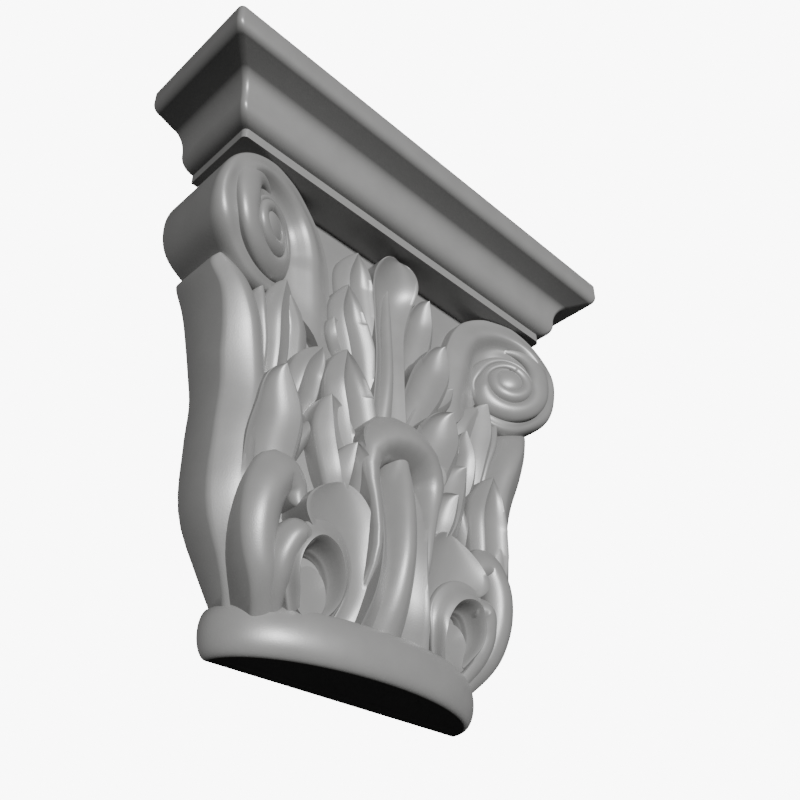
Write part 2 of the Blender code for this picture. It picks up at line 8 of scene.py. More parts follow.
import logging
import math
from collections.abc import Callable, Sequence
from dataclasses import dataclass, field
from enum import Enum

import bmesh
import bpy
import numpy as np
from mathutils import Matrix, Vector

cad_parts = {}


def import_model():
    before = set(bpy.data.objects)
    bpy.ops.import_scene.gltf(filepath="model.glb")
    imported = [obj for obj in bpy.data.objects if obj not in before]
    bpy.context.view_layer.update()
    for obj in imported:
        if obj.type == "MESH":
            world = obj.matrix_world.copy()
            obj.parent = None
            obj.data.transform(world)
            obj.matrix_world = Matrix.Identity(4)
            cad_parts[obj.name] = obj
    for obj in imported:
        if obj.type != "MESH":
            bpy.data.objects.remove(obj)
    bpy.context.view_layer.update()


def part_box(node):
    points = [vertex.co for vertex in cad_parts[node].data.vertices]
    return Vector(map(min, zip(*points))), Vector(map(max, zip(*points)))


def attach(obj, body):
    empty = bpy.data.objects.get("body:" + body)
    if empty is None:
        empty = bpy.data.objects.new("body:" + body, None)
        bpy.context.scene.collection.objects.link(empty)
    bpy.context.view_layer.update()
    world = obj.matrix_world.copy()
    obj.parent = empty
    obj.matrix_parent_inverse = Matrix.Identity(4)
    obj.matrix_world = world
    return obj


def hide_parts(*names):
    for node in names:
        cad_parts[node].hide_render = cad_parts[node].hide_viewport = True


LOG = logging.getLogger("capital")
NODE = "capital"
BODY = "root"

# How a lobe's face is cut: rows crowd towards its tip, columns towards its edge
TIP_SPACING = 1.6
EDGE_SPACING = 1.3
HEADING_STEPS = 240
EDGE_REACH = 1.6
EDGE_SHARES = (0.02, 0.9)
LEAST_WIDTH = 1e-6


def smooth(values: Sequence, knots: np.ndarray, stations: np.ndarray) -> np.ndarray:
    """Reads a smooth curve through values given at knots.

    Args:
        values: One number or one row of numbers for each knot.
        knots: Rising places along the curve.
        stations: Places to read.

    Returns:
        One row of values for each station.
    """
    table = np.array(values, float).reshape(len(knots), -1)
    slopes = np.gradient(table, knots, axis=0)
    span = np.clip(np.searchsorted(knots, stations, side="right") - 1, 0, len(knots) - 2)
    length = (knots[span + 1] - knots[span])[:, None]
    s = (stations - knots[span])[:, None] / length
    rise = s * s * (3 - 2 * s)
    bend = s * (1 - s) ** 2 * slopes[span] - s * s * (1 - s) * slopes[span + 1]
    return (1 - rise) * table[span] + rise * table[span + 1] + length * bend


def knots_along(points: np.ndarray) -> np.ndarray:
    """Shares of the way along a line of points, measured as seen from the front."""
    steps = np.linalg.norm(np.diff(points[:, [0, 2]], axis=0), axis=1)
    return np.concatenate([[0.0], np.cumsum(steps)]) / steps.sum()


def across(points: np.ndarray) -> np.ndarray:
    """Unit directions to the right of travel along a line of points, seen from the front."""
    ahead = np.gradient(points[:, [0, 2]], axis=0)
    ahead /= np.linalg.norm(ahead, axis=1)[:, None]
    return np.stack([ahead[:, 1], -ahead[:, 0]], -1)


@dataclass(frozen=True)
class Drawing:
    """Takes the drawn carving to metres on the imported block."""

    unit: float
    back: float
    base: float

    def place(self, points: np.ndarray) -> np.ndarray:
        """Drawn points as metres in the frame."""
        return np.asarray(points, float) * self.unit + np.array([0.0, self.back, self.base])


@dataclass
class Mason:
    """Makes and joins closed solids from drawn surfaces."""

    drawing: Drawing
    seam: float = 1e-7
    least_thickness: float = 1e-4

    def solid(self, name: str, points: np.ndarray, faces: list) -> bpy.types.Object:
        """Makes an object of one closed mesh.

        Args:
            name: The object's name.
            points: Drawn points.
            faces: Corner numbers of each face.

        Returns:
            The object, with its faces pointing outwards.
        """
        mesh = bpy.data.meshes.new(name)
        mesh.from_pydata(self.drawing.place(points).tolist(), [], faces)
        form = bmesh.new()
        form.from_mesh(mesh)
        bmesh.ops.remove_doubles(form, verts=form.verts, dist=self.seam)
        bmesh.ops.dissolve_degenerate(form, edges=form.edges, dist=self.seam)
        bmesh.ops.recalc_face_normals(form, faces=form.faces)
        if form.calc_volume(signed=True) < 0:
            bmesh.ops.reverse_faces(form, faces=form.faces)
        form.to_mesh(mesh)
        form.free()
        item = bpy.data.objects.new(name, mesh)
        bpy.context.scene.collection.objects.link(item)
        return item

    def loft(self, name: str, rings: Sequence[np.ndarray]) -> bpy.types.Object:
        """Closes a stack of rings, each of the same number of points, into a solid."""
        size = len(rings[0])
        points = np.concatenate([np.asarray(ring, float) for ring in rings])
        faces = [tuple(range(size)), tuple(range(len(points) - size, len(points)))]
        for level in range(len(rings) - 1):
            for step in range(size):
                a, b = level * size + step, level * size + (step + 1) % size
                faces.append((a, b, b + size, a + size))
        return self.solid(name, points, faces)

    def slab(self, name: str, surface: np.ndarray, back: float, pointed: bool = False) -> bpy.types.Object:
        """Closes a carved face with straight walls and a flat back.

        Args:
            name: The object's name.
            surface: Rows of drawn points, from the root up.
            back: Depth of the flat back.
            pointed: Whether the last row closes to one point.

        Returns:
            The solid.
        """
        rows, columns = surface.shape[:2]
        if pointed:
            surface[-1] = surface[-1, columns // 2]
        front = surface.reshape(-1, 3).copy()
        front[:, 1] = np.minimum(front[:, 1], back - self.least_thickness)
        rear = front.copy()
        rear[:, 1] = back
        count = rows * columns
        faces = []
        for row in range(rows - 1):
            for column in range(columns - 1):
                a = row * columns + column
                faces.append((a, a + 1, a + columns + 1, a + columns))
                faces.append((a + count, a + columns + count, a + columns + 1 + count, a + 1 + count))
            for a in (row * columns, row * columns + columns - 1):
                faces.append((a, a + columns, a + columns + count, a + count))
        for row in (0, rows - 1):
            for column in range(columns - 1):
                a = row * columns + column
                faces.append((a, a + 1, a + 1 + count, a + count))
        return self.solid(name, np.concatenate([front, rear]), faces)

    @staticmethod
    def join(base: bpy.types.Object, pieces: Sequence[bpy.types.Object]) -> bpy.types.Object:
        """Cuts the pieces and the base into one closed solid, and removes the pieces."""
        for piece in pieces:
            union = base.modifiers.new("union", "BOOLEAN")
            union.operation = "UNION"
            union.solver = "MANIFOLD"
            union.object = piece
            drawn = base.evaluated_get(bpy.context.evaluated_depsgraph_get())
            joined = bpy.data.meshes.new_from_object(drawn)
            base.modifiers.remove(union)
            base.data = joined
            bpy.data.objects.remove(piece)
        return base


@dataclass
class Abacus:
    """The moulded slab on top, drawn from its top face down."""

    half_width: float = 0.5
    depth: float = 0.2546
    top: float = 1.0
    corner: float = 0.010
    fillet: float = 0.030
    ovolo: tuple[float, float] = (0.0165, 0.021)
    soffit: tuple[float, float] = (0.0285, 0.011)
    cavetto: tuple[float, float] = (0.0275, 0.049)
    cyma: tuple[float, float] = (0.0275, 0.031)
    bed: float = 0.020
    steps: int = 10
    arris: float = 0.0015

    def quarter(self, size: tuple[float, float], hollow: bool) -> list[tuple[float, float]]:
        """Steps inward and down along a quarter ellipse, hollow or round."""
        reach, drop = size
        turns = [math.pi / 2 * step / self.steps for step in range(1, self.steps + 1)]
        if hollow:
            return [(reach * math.sin(a), drop * (1 - math.cos(a))) for a in turns]
        return [(reach * (1 - math.cos(a)), drop * math.sin(a)) for a in turns]

    def profile(self) -> list[tuple[float, float]]:
        """Insets and heights, with the slab's sharp edges eased."""
        ease = self.arris
        line = [(ease, self.top), (ease * 0.3, self.top - ease * 0.3), (0.0, self.top - ease)]
        line.append((0.0, self.top - self.fillet))
        members = (self.quarter(self.ovolo, False), [self.soffit], self.quarter(self.cavetto, True),
                   self.quarter(self.cyma, False), [(0.0, self.bed)])
        for member in members:
            inset, height = line[-1]
            line += [(inset + reach, height - drop) for reach, drop in member]
        return line

    def rings(self) -> list[np.ndarray]:
        """The slab's outline at each height, flat behind."""
        rings = []
        for inset, height in self.profile():
            half, depth = self.half_width - inset, self.depth - inset
            turns = [math.pi / 2 * step / self.steps for step in range(self.steps + 1)]
            side = [(half, 0.0)]
            side += [(half - self.corner * (1 - math.cos(a)), depth - self.corner * (1 - math.sin(a)))
                     for a in turns]
            ring = [(x, -y, height) for x, y in side] + [(-x, -y, height) for x, y in reversed(side)]
            rings.append(np.array(ring))
        return rings


@dataclass
class Astragal:
    """The rounded band at the foot, a half ellipse in plan."""

    half_width: float = 0.2708
    depth: float = 0.130
    height: float = 0.0765
    round: float = 0.0195
    around: int = 96
    up: int = 24

    def rings(self) -> list[np.ndarray]:
        """The band's outline at each height, flat behind."""
        rings = []
        turn = np.linspace(0.0, math.pi, self.around + 1)
        for level in range(self.up + 1):
            angle = math.pi * level / self.up
            inset = self.round * (1 - math.sin(angle))
            height = self.height / 2 * (1 - math.cos(angle))
            x = (self.half_width - inset) * np.cos(turn)
            y = -(self.depth - inset) * np.sin(turn)
            rings.append(np.stack([x, y, np.full_like(x, height)], -1))
        return rings


@dataclass
class Ground:
    """The bell's plain ground behind the carving."""

    stations: tuple = ((0.060, 0.222, 0.098, 2.0), (0.140, 0.270, 0.094, 2.4), (0.250, 0.300, 0.088, 4.0),
                       (0.450, 0.310, 0.083, 8.0), (0.600, 0.330, 0.082, 10.0), (0.850, 0.330, 0.082, 10.0))
    across: int = 48
    up: int = 40

    def rings(self) -> list[np.ndarray]:
        """The ground's outline at each height, flat behind."""
        table = np.array(self.stations)
        rings = []
        for height in np.linspace(table[0, 0], table[-1, 0], self.up):
            half, depth, power = (np.interp(height, table[:, 0], table[:, k]) for k in (1, 2, 3))
            x = np.sin(math.pi / 2 * np.linspace(-1, 1, self.across + 1))
            y = -depth * (1 - np.abs(x) ** power) ** (1 / power)
            rings.append(np.stack([half * x, y, np.full_like(x, height)], -1))
        return rings


@dataclass(frozen=True)
class Flank:
    """One side of a lobe: widths along its spine, fall and hollow as shares of the width."""

    widths: tuple[float, ...]
    fall: float
    hollow: float = 0.0
    power: float = 1.0

    def at(self, knots: np.ndarray, stations: np.ndarray, bluntness: float) -> np.ndarray:
        """The flank's width at each station, closing at the tip."""
        widths, inner = np.array(self.widths, float), knots[:-1]
        along = smooth(widths, inner, np.minimum(stations, inner[-1]))[:, 0]
        slope = np.gradient(widths, inner)[-1]
        length = 1 - inner[-1]
        s = np.clip((stations - inner[-1]) / length, 0, 1)
        closing = (widths[-1] + slope * length * s * (1 - s)) * np.clip(1 - s * s, 0, 1) ** bluntness
        return np.where(stations > inner[-1], closing, along)


@dataclass(frozen=True)
class Lobe:
    """One leaf or lobe: a spine along its crest and two flanks that fall away from it."""

    name: str
    spine: tuple[tuple[float, float, float], ...]
    inner: Flank
    outer: Flank
    bluntness: float = 0.7
    back: float = -0.030

    def surface(self, rows: int, columns: int, rounding: float) -> np.ndarray:
        """The carved face.

        Args:
            rows: Steps from root to tip.
            columns: Steps across each flank.
            rounding: Radius of the rounded edges.

        Returns:
            Rows of drawn points from the root to the tip.
        """
        spine = np.array(self.spine, float)
        knots = knots_along(spine)
        stations = 1 - (1 - np.linspace(0, 1, rows + 1)) ** TIP_SPACING
        crest = smooth(spine, knots, stations)
        fine = np.linspace(0, 1, HEADING_STEPS)
        beside = across(smooth(spine, knots, fine))
        right = np.stack([np.interp(stations, fine, beside[:, k]) for k in (0, 1)], -1)
        right /= np.linalg.norm(right, axis=1)[:, None]
        shares = 1 - (1 - np.linspace(0, 1, columns + 1)) ** EDGE_SPACING
        lines = [(-1, s) for s in shares[:0:-1]] + [(1, s) for s in shares]
        surface = []
        for side, s in lines:
            flank = self.inner if side < 0 else self.outer
            width = flank.at(knots, stations, self.bluntness)
            depth = crest[:, 1] + width * (flank.fall * s ** flank.power + flank.hollow * 4 * s * (1 - s))
            edge = np.clip(EDGE_REACH * rounding / np.maximum(width, LEAST_WIDTH), *EDGE_SHARES)
            over = np.clip((s - (1 - edge)) / edge, 0, 1)
            depth = depth + np.minimum(rounding, width) * (1 - np.sqrt(np.clip(1 - over * over, 0, 1)))
            place = crest[:, [0, 2]] + (side * width * s)[:, None] * right
            surface.append(np.stack([place[:, 0], depth, place[:, 1]], -1))
        return np.array(surface).transpose(1, 0, 2)


PAIRED_LOBES = (
    Lobe("side leaf",
         ((0.206, -0.040, 0.060), (0.252, -0.076, 0.130), (0.280, -0.096, 0.200), (0.294, -0.106, 0.310),
          (0.292, -0.112, 0.400), (0.303, -0.117, 0.452), (0.322, -0.126, 0.505), (0.350, -0.124, 0.560),
          (0.384, -0.106, 0.609)),
         Flank((0.030, 0.035, 0.040, 0.045, 0.042, 0.042, 0.046, 0.052), 0.85, 0, 2),
         Flank((0.034, 0.034, 0.045, 0.042, 0.046, 0.046, 0.040, 0.028), 0.66, 0, 1.3), 0.32, 0),
    Lobe("upper inner",
         ((0.062, -0.092, 0.560), (0.100, -0.104, 0.680), (0.109, -0.107, 0.742), (0.097, -0.114, 0.797)),
         Flank((0.050, 0.064, 0.062), 0.0, 0.26),
         Flank((0.014, 0.022, 0.022), 0.9, 0, 1.2), 0.62, -0.03),
    Lobe("upper outer",
         ((0.070, -0.100, 0.480), (0.116, -0.120, 0.570), (0.136, -0.124, 0.632), (0.127, -0.125, 0.692)),
         Flank((0.050, 0.074, 0.068), 0.08, 0.27),
         Flank((0.014, 0.020, 0.018), 1.0, 0, 1.2), 0.62, -0.03),
    Lobe("blade",
         ((0.076, -0.095, 0.480), (0.116, -0.105, 0.545), (0.144, -0.117, 0.578), (0.152, -0.119, 0.606)),
         Flank((0.026, 0.034, 0.032), 0.15, 0.2),
         Flank((0.010, 0.014, 0.013), 0.9, 0, 1.2), 0.5, -0.03),
    Lobe("mid inner",
         ((0.085, -0.110, 0.330), (0.119, -0.130, 0.410), (0.139, -0.137, 0.470), (0.133, -0.136, 0.535)),
         Flank((0.060, 0.082, 0.084), 0.16, 0.27),
         Flank((0.016, 0.026, 0.024), 0.9, 0, 1.2), 0.56, -0.03),
    Lobe("low outer",
         ((0.100, -0.110, 0.240), (0.132, -0.130, 0.300), (0.150, -0.133, 0.360), (0.162, -0.135, 0.430)),
         Flank((0.045, 0.058, 0.062), 0.18, 0.24),
         Flank((0.016, 0.024, 0.026), 0.8, 0, 1.2), 0.56, -0.03),
    Lobe("low inner",
         ((0.100, -0.085, 0.190), (0.108, -0.108, 0.245), (0.116, -0.138, 0.300), (0.118, -0.152, 0.349)),
         Flank((0.036, 0.050, 0.056), 0.1, 0.22),
         Flank((0.014, 0.022, 0.026), 0.9, 0, 1.2), 0.42, -0.03),
    Lobe("small mid",
         ((0.205, -0.085, 0.380), (0.208, -0.112, 0.440), (0.202, -0.121, 0.480), (0.178, -0.126, 0.521)),
         Flank((0.035, 0.045, 0.040), 0.2, 0.18),
         Flank((0.014, 0.020, 0.020), 0.8, 0, 1.2), 0.56, -0.03),
    Lobe("hook",
         ((0.240, -0.080, 0.400), (0.252, -0.106, 0.500), (0.262, -0.116, 0.560), (0.257, -0.117, 0.625)),
         Flank((0.022, 0.034, 0.042), 0.5, 0.08),
         Flank((0.016, 0.024, 0.024), 0.9, 0, 1.4), 0.46, -0.03),
    Lobe("hook side",
         ((0.205, -0.080, 0.440), (0.204, -0.096, 0.520), (0.212, -0.103, 0.565), (0.238, -0.106, 0.610)),
         Flank((0.018, 0.026, 0.024), 0.5, 0, 1.5),
         Flank((0.020, 0.022, 0.020), 0.3), 0.5, -0.03),
    Lobe("hook stem",
         ((0.262, -0.080, 0.420), (0.272, -0.098, 0.500), (0.288, -0.106, 0.555), (0.296, -0.104, 0.600)),
         Flank((0.012, 0.015, 0.016), 0.9, 0, 1.6),
         Flank((0.012, 0.015, 0.016), 0.9, 0, 1.6), 0.5, -0.03),
    Lobe("side inner",
         ((0.240, -0.098, 0.180), (0.219, -0.121, 0.300), (0.215, -0.127, 0.365), (0.248, -0.126, 0.449)),
         Flank((0.014, 0.020, 0.022), 1.0, 0, 1.5),
         Flank((0.050, 0.080, 0.078), 0.1, 0.25), 0.55, -0.03),
    Lobe("cross stem",
         ((0.222, -0.088, 0.270), (0.198, -0.102, 0.325), (0.168, -0.108, 0.390)),
         Flank((0.017, 0.017), 0.9, 0, 1.6),
         Flank((0.017, 0.017), 0.9, 0, 1.6), 0.5, -0.03),
    Lobe("big lobe",
         ((0.206, -0.078, 0.060), (0.232, -0.110, 0.100), (0.251, -0.124, 0.145), (0.257, -0.133, 0.190),
          (0.247, -0.137, 0.235), (0.226, -0.134, 0.260), (0.204, -0.128, 0.248), (0.196, -0.120, 0.216)),
         Flank((0.022, 0.026, 0.030, 0.032, 0.030, 0.026, 0.022), 0.75, 0, 2),
         Flank((0.024, 0.028, 0.034, 0.038, 0.042, 0.042, 0.024), 0.60, 0, 2), 0.5, -0.03),
    Lobe("small lobe",
         ((0.196, -0.080, 0.060), (0.212, -0.114, 0.100), (0.215, -0.133, 0.140), (0.202, -0.142, 0.168),
          (0.176, -0.132, 0.166)),
         Flank((0.020, 0.024, 0.026, 0.022), 0.8, 0, 2),
         Flank((0.018, 0.022, 0.026, 0.026), 0.8, 0, 2), 0.5, -0.03),
    Lobe("big scoop",
         ((0.100, -0.080, 0.050), (0.082, -0.104, 0.120), (0.093, -0.107, 0.168), (0.104, -0.111, 0.200),
          (0.124, -0.126, 0.284)),
         Flank((0.020, 0.030, 0.040, 0.050), -0.34, 0, 2),
         Flank((0.010, 0.010, 0.010, 0.066), -0.28, 0, 2), 0.5, -0.03),
)
MIDDLE_LOBES = (
    Lobe("top leaf",
         ((0.000, -0.085, 0.420), (0.000, -0.090, 0.600), (0.000, -0.086, 0.700), (0.000, -0.092, 0.770),
          (0.000, -0.126, 0.829)),
         Flank((0.046, 0.036, 0.041, 0.055), -0.45, 0, 2),
         Flank((0.046, 0.036, 0.041, 0.055), -0.45, 0, 2), 0.44, -0.03),
    Lobe("fan rib",
         ((0.000, -0.092, 0.430), (0.000, -0.106, 0.560), (0.000, -0.101, 0.680), (0.000, -0.094, 0.780)),
         Flank((0.026, 0.015, 0.012), 0.8, 0, 2),
         Flank((0.026, 0.015, 0.012), 0.8, 0, 2), 0.6, -0.03),
    Lobe("stem leaf",
         ((0.000, -0.080, 0.060), (0.000, -0.108, 0.115), (0.000, -0.120, 0.185), (0.000, -0.118, 0.256),
          (0.000, -0.110, 0.320), (0.000, -0.100, 0.367), (0.000, -0.100, 0.430)),
         Flank((0.072, 0.060, 0.050, 0.054, 0.074, 0.095), -0.48, 0, 2),
         Flank((0.072, 0.060, 0.050, 0.054, 0.074, 0.095), -0.48, 0, 2), 0.4, -0.03),
    Lobe("stem ridge",
         ((0.000, -0.100, 0.050), (0.000, -0.134, 0.115), (0.000, -0.154, 0.185), (0.000, -0.158, 0.256),
          (0.000, -0.152, 0.320), (0.000, -0.142, 0.368), (0.000, -0.130, 0.430)),
         Flank((0.060, 0.046, 0.037, 0.034, 0.032, 0.030), 1.1, 0, 2),
         Flank((0.060, 0.046, 0.037, 0.034, 0.032, 0.030), 1.1, 0, 2), 0.5, -0.03),
    Lobe("hood",
         ((-0.056, -0.100, 0.110), (-0.054, -0.138, 0.190), (-0.062, -0.145, 0.262), (-0.072, -0.146, 0.316),
          (-0.074, -0.152, 0.354), (-0.050, -0.162, 0.386), (0.000, -0.170, 0.398), (0.050, -0.162, 0.386),
          (0.074, -0.152, 0.354), (0.072, -0.146, 0.316), (0.062, -0.145, 0.262), (0.054, -0.138, 0.190),
          (0.056, -0.100, 0.110)),
         Flank((0.008, 0.008, 0.009, 0.014, 0.024, 0.046, 0.058, 0.046, 0.024, 0.014, 0.009, 0.008),
               0.7, 0, 2),
         Flank((0.012, 0.020, 0.030, 0.038, 0.040, 0.034, 0.030, 0.034, 0.040, 0.038, 0.030, 0.020),
               1.2, 0, 2),
         0.5, -0.03),
)


@dataclass
class Leafwork:
    """The acanthus leaves, the right-hand half and the middle ones."""

    rows: int = 36
    columns: int = 9
    rounding: float = 0.003

    def carve(self, mason: Mason, lobes: Sequence[Lobe]) -> list[bpy.types.Object]:
        """One closed solid for each lobe."""
        return [mason.slab(lobe.name, lobe.surface(self.rows, self.columns, self.rounding), lobe.back, True)
                for lobe in lobes]


@dataclass(frozen=True)
class BandStation:
    """A band at one angle about its centre: radius and depth of each line along it."""

    degrees: float
    edge: tuple[float, float]
    arris: tuple[float, float]
    crest: tuple[float, float]
    trough: tuple[float, float]


@dataclass(frozen=True)
class Band:
    """A band carved round a centre, drawn as stations at angles clockwise from the top."""

    name: str
    centre: tuple[float, float]
    stations: tuple[BandStation, ...]
    skirt: float
    inward: float
    open_until: float
    sink: float = 0.003
    back: float = 0.0
    rows: int = 120
    columns: int = 5

    def place(self, degrees: float, radius: float, depth: float) -> tuple[float, float, float]:
        """A drawn point at an angle and a radius from the centre."""
        turn = math.radians(degrees)
        return self.centre[0] + radius * math.sin(turn), depth, self.centre[1] + radius * math.cos(turn)

    def surface(self) -> np.ndarray:
        """The band's face: a rounded shoulder, a swelling to the crest, and a fall to the trough."""
        knots = np.array([station.degrees for station in self.stations], float)
        lines = [[*station.edge, *station.arris, *station.crest, *station.trough]
                 for station in self.stations]
        angles = np.linspace(knots[0], knots[-1], self.rows + 1)
        rows = []
        for degrees, line in zip(angles, smooth(lines, knots, angles)):
            keys = [tuple(line[k:k + 2]) for k in (0, 2, 4, 6)]
            reach = max(keys[3][0] - self.inward, self.skirt) if degrees <= self.open_until else self.skirt
            keys.append((reach, keys[3][1] + self.sink))
            row = []
            for k in range(4):
                (r0, y0), (r1, y1) = keys[k], keys[k + 1]
                for step in range(self.columns + (k == 3)):
                    share = step / self.columns
                    if k == 0:
                        turn = share * math.pi / 2
                        across_by, fall_by = 1 - math.cos(turn), math.sin(turn)
                    else:
                        across_by, fall_by = share, share * share * (3 - 2 * share)
                    row.append(self.place(degrees, r0 + (r1 - r0) * across_by, y0 + (y1 - y0) * fall_by))
            rows.append(row)
        return np.array(rows)


@dataclass
class Horseshoe:
    """The small horseshoe scroll low on each side, round a flat disc."""

    disc_centre: tuple[float, float] = (0.154, 0.101)
    disc_radii: tuple[float, float] = (0.031, 0.040)
    disc_face: float = -0.098
    disc_rear: float = -0.030
    disc_steps: int = 40
    band: Band = Band("horseshoe", (0.150, 0.110), (
        BandStation(-150, (0.055, -0.086), (0.053, -0.088), (0.047, -0.104), (0.034, -0.090)),
        BandStation(-125, (0.054, -0.092), (0.052, -0.095), (0.043, -0.114), (0.031, -0.094)),
        BandStation(-90, (0.058, -0.102), (0.055, -0.106), (0.041, -0.124), (0.031, -0.096)),
        BandStation(-50, (0.081, -0.109), (0.077, -0.114), (0.046, -0.130), (0.037, -0.098)),
        BandStation(-8, (0.097, -0.120), (0.092, -0.126), (0.060, -0.139), (0.050, -0.100)),
        BandStation(20, (0.094, -0.124), (0.088, -0.130), (0.065, -0.142), (0.054, -0.102)),
        BandStation(50, (0.078, -0.118), (0.073, -0.124), (0.057, -0.134), (0.044, -0.100)),
        BandStation(85, (0.060, -0.106), (0.057, -0.110), (0.046, -0.126), (0.032, -0.098)),
        BandStation(125, (0.052, -0.092), (0.050, -0.096), (0.039, -0.112), (0.028, -0.094)),
        BandStation(150, (0.055, -0.084), (0.053, -0.087), (0.043, -0.100), (0.032, -0.088)),
    ), skirt=0.010, inward=0.004, open_until=math.inf, sink=0.012, back=-0.03, rows=60)

    def carve(self, mason: Mason) -> list[bpy.types.Object]:
        """The horseshoe and its disc."""
        turn = np.linspace(0, 2 * math.pi, self.disc_steps, endpoint=False)
        a = self.disc_centre[0] + self.disc_radii[0] * np.sin(turn)
        z = self.disc_centre[1] + self.disc_radii[1] * np.cos(turn)
        rings = [np.stack([a, np.full_like(a, depth), z], -1) for depth in (self.disc_rear, self.disc_face)]
        return [mason.slab(self.band.name, self.band.surface(), self.band.back),
                mason.loft("disc", rings)]


@dataclass(frozen=True)
class Stretch:
    """A stretch of a roll from one angle to another, starting below the band by its dive."""

    name: str
    start: float
    stop: float
    rows: int
    dive: float = 0.0


@dataclass
class Scroll:
    """The right-hand volute: stem and band, rolls and domed eye.

    Angles run clockwise from the top about the eye, seen from the front.
    """

    eye: tuple[float, float, float] = (0.3067, -0.1400, 0.6987)
    eye_radius: float = 0.0265
    eye_dome: float = 0.0095
    eye_lap: float = 0.004
    eye_rings: int = 9
    eye_top: float = 0.96
    main_stretches: tuple[Stretch, ...] = (Stretch("first turn", -15, 338, 110, 0.035),
                                           Stretch("second turn", 328, 680, 80),
                                           Stretch("last turn", 670, 720, 12))
    tail_stretch: Stretch = Stretch("dying roll", 212, 478, 70)
    roll_angles: tuple[float, ...] = (-15, 5, 25, 60, 90, 135, 180, 225, 250, 270, 315, 360, 450, 480, 540,
                                      585, 630, 675, 720, 745)
    roll_edges: tuple[float, ...] = (0.096, 0.106, 0.112, 0.108, 0.0945, 0.090, 0.087, 0.0805, 0.068, 0.056,
                                     0.0475, 0.045, 0.047, 0.0495, 0.052, 0.048, 0.0415, 0.034, 0.029, 0.027)
    tail_angles: tuple[float, ...] = (210, 270, 330, 360, 420, 480)
    tail_edges: tuple[float, ...] = (0.083, 0.072, 0.0605, 0.055, 0.053, 0.0495)
    loose_share: float = 0.4
    loose_turn: float = 75.0
    rise: float = 0.45
    highest: float = 0.0125
    bed: float = 0.004
    lap: float = 0.0015
    least_width: float = 0.001
    slope: float = 0.50
    bow: float = 2.6
    bow_below: float = 3.0
    bow_above: float = 0.5
    dive_over: float = 85.0
    open_width: float = 0.028
    open_turn: float = 90.0
    rear: float = 0.0
    band: Band = Band("scroll band", (0.3067, 0.6987), (
        BandStation(-139, (0.264, -0.088), (0.260, -0.092), (0.190, -0.104), (0.106, -0.088)),
        BandStation(-120, (0.200, -0.092), (0.196, -0.096), (0.142, -0.110), (0.076, -0.090)),
        BandStation(-102, (0.163, -0.096), (0.159, -0.100), (0.118, -0.114), (0.064, -0.092)),
        BandStation(-80, (0.151, -0.099), (0.147, -0.103), (0.109, -0.117), (0.065, -0.094)),
        BandStation(-40, (0.150, -0.108), (0.146, -0.112), (0.110, -0.125), (0.074, -0.100)),
        BandStation(0, (0.143, -0.136), (0.138, -0.140), (0.106, -0.145), (0.083, -0.122)),
        BandStation(20, (0.137, -0.146), (0.130, -0.150), (0.103, -0.157), (0.080, -0.133)),
        BandStation(45, (0.132, -0.152), (0.123, -0.160), (0.099, -0.167), (0.072, -0.148)),
        BandStation(70, (0.1298, -0.152), (0.118, -0.166), (0.103, -0.163), (0.060, -0.150)),
        BandStation(90, (0.1285, -0.142), (0.115, -0.160), (0.098, -0.158), (0.055, -0.150)),
        BandStation(115, (0.127, -0.124), (0.107, -0.152), (0.091, -0.152), (0.055, -0.145)),
        BandStation(139, (0.115, -0.102), (0.100, -0.132), (0.0885, -0.136), (0.055, -0.130)),
        BandStation(180, (0.111, -0.090), (0.100, -0.110), (0.087, -0.113), (0.055, -0.110)),
        BandStation(210, (0.100, -0.082), (0.093, -0.092), (0.083, -0.096), (0.055, -0.095)),
    ), skirt=0.045, inward=0.04, open_until=-60)
    roll_columns: int = 13
    eye_steps: int = 40

    def ground(self, dx: np.ndarray, dz: np.ndarray) -> np.ndarray:
        """Depth of the hollow face the rolls lie on, at offsets from the eye."""
        sideways = self.bow * dx ** 2 - self.slope * dx
        upright = self.bow_below * np.minimum(dz, 0) ** 2 + self.bow_above * np.maximum(dz, 0) ** 2
        return self.eye[1] + sideways + upright

    def main_edge(self, degrees: float) -> float:
        """Radius of the main roll's outer edge."""
        knots = np.array(self.roll_angles, float)
        return float(smooth(self.roll_edges, knots, np.array([degrees]))[0, 0])

    def tail_edge(self, degrees: float) -> float:
        """Radius of the outer edge of the roll that dies out."""
        knots = np.array(self.tail_angles, float)
        return float(smooth(self.tail_edges, knots, np.array([degrees]))[0, 0])

    def main_inside(self, degrees: float) -> float:
        """Radius of the main roll's inner side, which comes down onto the next turn."""
        if degrees + 360 > self.roll_angles[-1]:
            return self.eye_radius - self.eye_lap
        opened = self.main_edge(degrees) - self.open_width
        closed = self.main_edge(degrees + 360) - self.lap
        share = min(max(degrees / self.open_turn, 0.0), 1.0)
        return opened + (closed - opened) * share * share * (3 - 2 * share)

    def tail_inside(self, degrees: float) -> float:
        """Radius of the dying roll's inner side, just under the main roll."""
        edge = self.tail_edge(degrees)
        under = min(self.main_edge(degrees) - self.lap, edge - self.least_width)
        loose = edge - self.loose_share * (edge - self.main_edge(degrees + 360))
        share = min(max((degrees - self.tail_angles[0]) / self.loose_turn, 0.0), 1.0)
        return loose + (under - loose) * share * share * (3 - 2 * share)

